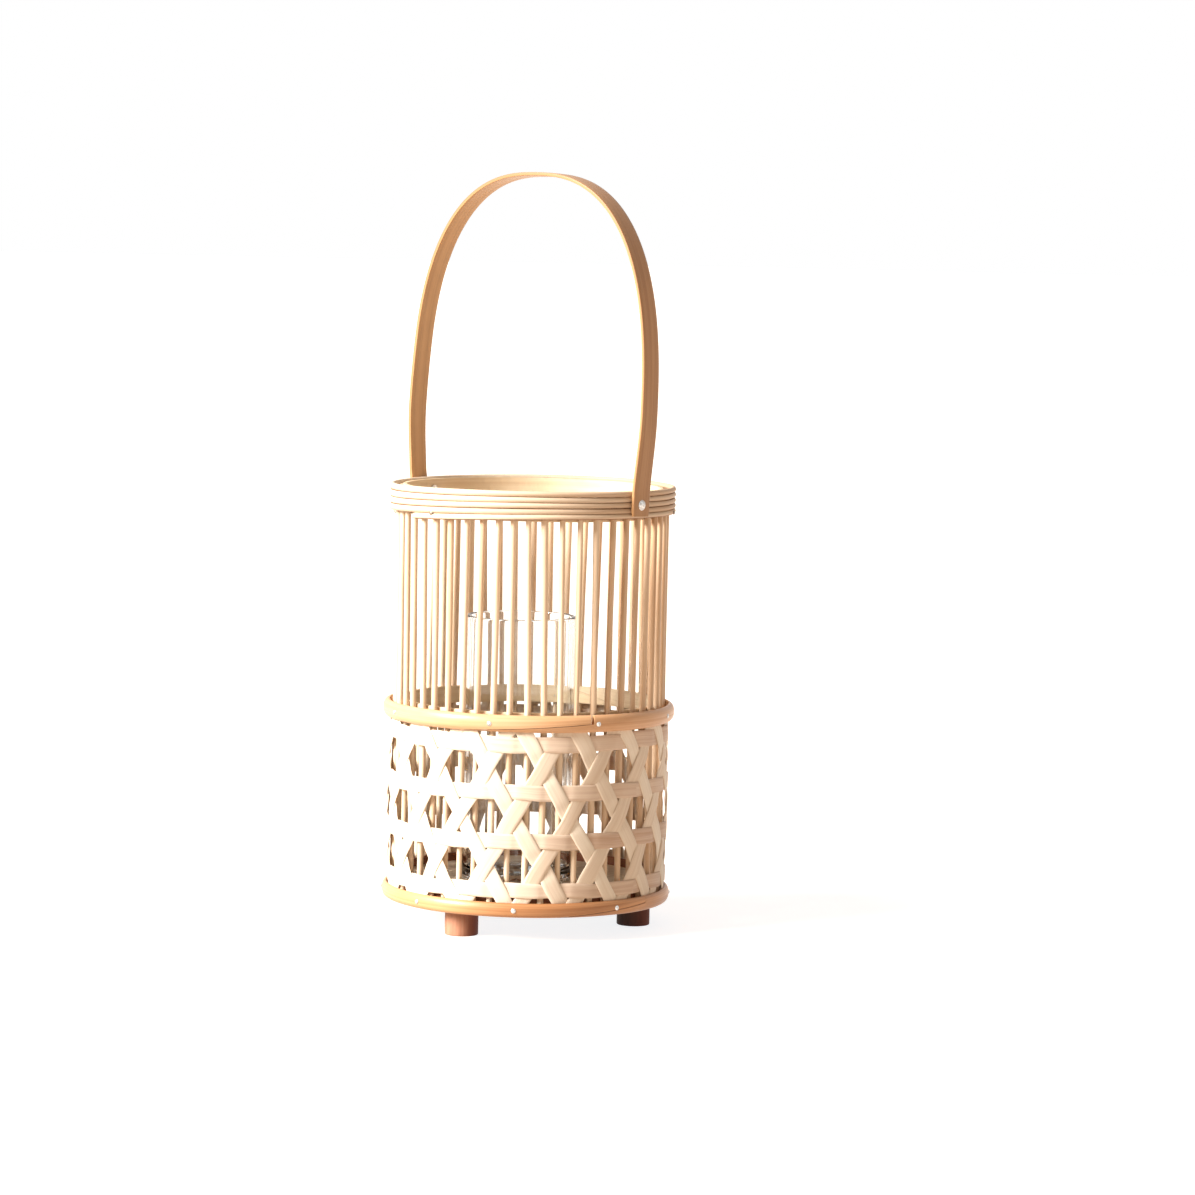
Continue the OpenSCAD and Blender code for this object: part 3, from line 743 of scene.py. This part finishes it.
# one strip: a flat section carried along a path on the basket's side, which bellies out in the
# middle of its height; the strip sways, tips and changes its width, and its faces are cupped
def stripGrid(angle, z, lift, slope, w, dice):
    length = np.concatenate([[0], np.cumsum(np.hypot(np.diff(angle) * weaveMid, np.diff(z)))])
    share = length / length[-1]
    out, along = outAt(angle), alongAt(angle)
    run, rise = np.cos(slope)[:, None], np.sin(slope)[:, None]
    across = along * -rise + upAxis * run
    waves = (1, 2, 3, 5) if len(angle) < 200 else (3, 5, 8, 13, 21)
    sway = w["sway"] * wobble(share, int(dice.integers(1 << 20)), waves)
    uneven = wobble(share, int(dice.integers(1 << 20)), waves)
    width = 1 + w["vary"] * (uneven + dice.uniform(-1, 1))
    tip = w["tip"] * wobble(share, int(dice.integers(1 << 20)), waves)
    middle = np.clip((z - slantLow) / (slantHigh - slantLow), 0, 1)
    belly = w["bulge"] * np.sin(math.pi * middle) ** 0.6
    centre = out * (weaveMid + belly + lift)[:, None] + upAxis * z[:, None] + across * sway[:, None]
    section = flatSection(w["width"], w["thick"], w["corner"], 2, 5)
    cup = -w["cup"] * (2 * section[:, 0] / w["width"]) ** 2
    sections = section[None] * np.stack([width, np.ones_like(width)], -1)[:, None]
    sections = sections + np.stack([np.zeros_like(cup), cup], -1)
    points = carry(centre, across + out * tip[:, None], out, sections)
    # the strip follows the round basket across its width too
    flat = np.linalg.norm(points[..., :2], axis=-1, keepdims=True)
    side = points - centre[:, None]
    sag = (side * along[:, None]).sum(-1, keepdims=True) ** 2 / (2 * weaveMid)
    points[..., :2] *= (flat - sag) / flat
    return points


# a level strip goes under and over once for each pair of slants, and dips between them
def makeLevelStrip(number, w):
    low, high = heights(f"weave_ring_{number}")
    z0 = (low + high) / 2
    dice = np.random.default_rng(300 + number)
    turns = np.arange(720) / 720
    angle = 2 * math.pi * turns
    crossing = rightAngle(z0, 0)
    phase = w["slants"] * (angle - crossing)
    lift = reach * overUnder(phase, w["steep"])
    z = (z0 + w["levelSway"] * wobble(turns, 310 + number, (2, 3, 5, 9))
         - w["levelDip"] * np.sin(phase))
    points = stripGrid(angle, z, lift, np.zeros_like(angle), {**w, "sway": 0.0}, dice)
    # the tint: a faint tone, plus painted shade on the basket's shaded side, a little uneven along
    # the strip
    depth = w["paintedShadeTint"] + w["paintedShadeVary"] * wobble(turns, 320 + number)
    tint = w["levelTint"] + depth * paintedShadeSide(angle, w["paintedShadeAt"], w["paintedShadeWidth"])
    piece = meshFrom(f"weaveLevel{number}", [points], closedPath=True, uvShift=[number * 2.3],
                     tints=[tint[:, None]])
    return fit(piece, levelFinish, "weave_bamboo", "basket", f"weave_ring_{number}")


# the angle where slanting strip number i crosses height z, a straight line in both; the strips of
# one family rise to the right, and those of the other to the left
def rightAngle(z, i):
    return math.radians(weaveShape["cross"]) + (z - weaveCross) * turnPerRise + i * slantStep


def leftAngle(z, i):
    return math.radians(weaveShape["cross"]) - (z - weaveCross) * turnPerRise + i * slantStep


# two slanting strips, which go over and under once for each level strip
def makeSlants(side, group, w):
    node = f"weave_{side}_{group}"
    z = np.linspace(slantLow, slantHigh, 84)
    sign = 1 if side == "right" else -1
    grids, shifts, tints = [], [], []
    for i in (2 * group - 2, 2 * group - 1):
        dice = np.random.default_rng((500 if side == "right" else 700) + i)
        angle = rightAngle(z, i) if side == "right" else leftAngle(z, i)
        angle = angle + math.radians(w["askew"]) * dice.uniform(-1, 1)
        phase = 2 * math.pi * (z - ringFoot) / ringStep
        lift = -sign * reach * overUnder(phase, w["steep"])
        slope = np.full_like(z, math.atan2(1.0, sign * turnPerRise * weaveMid))
        grids.append(stripGrid(angle, z, lift, slope, w, dice))
        shifts.append(dice.uniform(0, 40))
        tints.append(dice.uniform(0, 1))
    piece = meshFrom(f"weave{side.capitalize()}{group}", grids, uvShift=shifts, tints=tints)
    return fit(piece, slantFinish, "weave_bamboo", "basket", node)


# the weave's lattice, from the frame: level strips at even heights, and slants that cross between
ringCount = len([n for n in frame["nodes"] if n.startswith("weave_ring_")])
ringHeights = [sum(heights(f"weave_ring_{i}")) / 2 for i in range(1, ringCount + 1)]
ringFoot, ringStep = ringHeights[0], ringHeights[1] - ringHeights[0]
weaveCross = ringFoot + ringStep * (ringCount // 2 - 0.5)
slantStep = 2 * math.pi / weaveShape["slants"]
turnPerRise = slantStep / 2 / ringStep
slantLow, slantHigh = heights("weave_right_1")
weaveMid = radiusOf("weave_ring_1") - 0.35 * mm
reach = (weaveShape["thick"] + weaveShape["slack"]) / 2      # of a strip, over or under
for number in range(1, ringCount + 1):
    makeLevelStrip(number, weaveShape)
for side in ("right", "left"):
    for group in range(1, weaveShape["slants"] // 2 + 1):
        makeSlants(side, group, weaveShape)


print("base and cup")


# a shape turned on a lathe: profile points (radius, height) carried round an upright axis; both
# ends of the profile lie a hair off the axis, so that the poles close as small caps; a tint of
# painted shade is darkest at one angle, where dark gives it with its width
def turned(name, profile, x, y, steps, dark=None):
    profile = np.array(profile)
    # extra points along the long stretches keep the shading even
    length = np.concatenate([[0], np.cumsum(np.linalg.norm(np.diff(profile, axis=0), axis=-1))])
    place = np.unique(np.concatenate([length, np.arange(0, length[-1], 4 * mm)]).round(6))
    profile = np.stack([np.interp(place, length, profile[:, 0]),
                        np.interp(place, length, profile[:, 1])], -1)
    angle = 2 * math.pi * np.arange(steps) / steps
    ring = outAt(angle)[None] * profile[:, None, :1] + upAxis * profile[:, None, 1:]
    tint = None if dark is None else [paintedShadeSide(angle, *dark)[None]]
    return meshFrom(name, [ring + np.array([x, y, 0])], tints=tint, sharp=40)


# rounds the corner at p between a and b: a quadratic curve from r before it to r after it
def roundCorner(a, p, b, r, steps=5):
    a, p, b = (np.array(q, float) for q in (a, p, b))
    p0 = p + (a - p) / np.linalg.norm(a - p) * r
    p2 = p + (b - p) / np.linalg.norm(b - p) * r
    t = np.linspace(0, 1, steps)[:, None]
    return list((1 - t) ** 2 * p0 + 2 * t * (1 - t) * p + t ** 2 * p2)


# a profile with each corner but its two ends rounded
def roundedProfile(points, radii):
    out = [points[0]]
    for a, p, b, r in zip(points, points[1:], points[2:], radii):
        out += roundCorner(a, p, b, r)
    return out + [points[-1]]


pole = 0.05 * mm           # how far from its axis a turned profile ends
# the side shade entry: angle and width of the painted shade on each foot
footShape = {"sides": 64, "lowEdge": 0.9 * mm, "highEdge": 0.4 * mm, "sideShade": (35, 105),
             "paintedShadeFoot": 2}


# a dowel with both its edges rounded, with painted shade at one side
def makeFoot(number, node, s):
    low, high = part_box(node)
    r, top = (high.y - low.y) / 2, high.z
    profile = roundedProfile([(pole, 0), (r, 0), (r, top), (pole, top)],
                             [s["lowEdge"], s["highEdge"]])
    foot = turned(f"foot{number}", profile, (low.x + high.x) / 2, (low.y + high.y) / 2,
                  s["sides"], s["sideShade"])
    # the foot in the basket's shadow gets the near-black painted-shade wood
    finish = paintedShadeFootFinish if number == s["paintedShadeFoot"] else footFinish
    return fit(foot, finish, "foot_wood", "basket", node)


footNodes = [n for n in frame["nodes"] if n.startswith("foot_") and n != "foot_screws"]
for number, node in enumerate(sorted(footNodes), 1):
    makeFoot(number, node, footShape)

cupShape = {"sides": 128, "wall": 3.0 * mm, "floor": 6.0 * mm, "base": 3.0 * mm,
            "lip": 1.4 * mm, "hollow": 0.8 * mm, "hollowTo": 0.8, "hollowEdge": 2.0 * mm,
            "floorRise": 0.6 * mm, "floorEdge": 4.5 * mm}


# one closed wall: up the outside from a hollowed base, over the lip and down to a thick floor
def makeCup(c):
    low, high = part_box("glass_cup")
    r, foot, top = (high.x - low.x) / 2, low.z, high.z
    inside, floor = r - c["wall"], foot + c["floor"]
    profile = roundedProfile(
        [(pole, foot + c["hollow"]), (r * c["hollowTo"], foot), (r, foot), (r, top),
         (inside, top), (inside, floor), (pole, floor + c["floorRise"])],
        [c["hollowEdge"], c["base"], c["lip"], c["lip"], c["floorEdge"]])
    cup = turned("glassCup", profile, (low.x + high.x) / 2, (low.y + high.y) / 2, c["sides"])
    return fit(cup, glassFinish, "clear_glass", "glass_cup", "glass_cup")


makeCup(cupShape)

# the nodes whose own shape is right get a finish only
for node, finish, slotName in [
        ("base_board", boardFinish, "board_wood"), ("foot_screws", steelFinish, "steel"),
        ("rim_tacks", dullSteelFinish, "steel"), ("waist_tacks", steelFinish, "steel"),
        ("base_tacks", steelFinish, "steel"), ("rivet_right", steelFinish, "steel"),
        ("rivet_left", steelFinish, "steel"), ("rivet_washer_right", steelFinish, "steel"),
        ("rivet_washer_left", steelFinish, "steel")]:
    piece = frame["nodes"][node]
    piece.data.materials.clear()
    piece.data.materials.append(finish)


print("stage")
lightLook = {"keyStrength": 9.5, "keySpread": 26, "keyAside": 24, "keyRise": 30,
             "keyColour": (1.0, 0.985, 0.96), "fill": 0.38, "fillColour": (1.0, 0.84, 0.68),
             "floor": (0.50, 0.40, 0.31), "floorGlow": (0.80, 0.83, 0.86), "floorReach": 60.0}


# the floor: warm and dim for the light that it throws back, near white where it is looked at
def stageFloor(look):
    mesh = bpy.data.meshes.new("floor")
    r = look["floorReach"]
    mesh.from_pydata([(-r, -r, 0), (r, -r, 0), (r, r, 0), (-r, r, 0)], [], [(0, 1, 2, 3)])
    floor = bpy.data.objects.new("floor", mesh)
    bpy.context.scene.collection.objects.link(floor)
    f = newMaterial("floorPaint")
    bounced = f.add("ShaderNodeLightPath", "Is Diffuse Ray")
    glow = f.blend(bounced, look["floorGlow"], (0.0, 0.0, 0.0))
    mesh.materials.append(f.done(Base_Color=look["floor"], Roughness=0.9, Specular_IOR_Level=0.1,
                                 Emission_Color=glow, Emission_Strength=1.0))


# a wide soft light from a long way off: its side is given as the viewer's right, depth and up
def keyLight(look):
    aside, rise = math.radians(look["keyAside"]), math.radians(look["keyRise"])
    side = np.array([-math.cos(rise) * math.cos(aside), -math.cos(rise) * math.sin(aside),
                     math.sin(rise)])
    towards = Vector((toLantern @ side).tolist())
    data = bpy.data.lights.new("key", "SUN")
    data.energy, data.color = look["keyStrength"], look["keyColour"]
    data.angle = math.radians(look["keySpread"])
    lamp = bpy.data.objects.new("key", data)
    bpy.context.scene.collection.objects.link(lamp)
    lamp.rotation_euler = towards.to_track_quat("Z", "Y").to_euler()


# the studio round the lantern: white where it is looked at, mirrored or seen through glass, and
# a dim warm fill for everything else
def studio(look):
    world = bpy.data.worlds.new("studio")
    bpy.context.scene.world = world
    f = Finish(world)
    dim = f.add("ShaderNodeBackground", "Background", {},
                {"Color": look["fillColour"], "Strength": look["fill"]})
    white = f.add("ShaderNodeBackground", "Background", {}, {"Color": (1.0, 1.0, 1.0)})
    bounced = f.add("ShaderNodeLightPath", "Is Diffuse Ray")
    seen = f.add("ShaderNodeMixShader", "Shader", {}, {0: bounced, 1: white, 2: dim})
    f.add("ShaderNodeOutputWorld", None, {}, {"Surface": seen})


stageFloor(lightLook)
keyLight(lightLook)
studio(lightLook)
bpy.context.scene.view_settings.view_transform = "Standard"
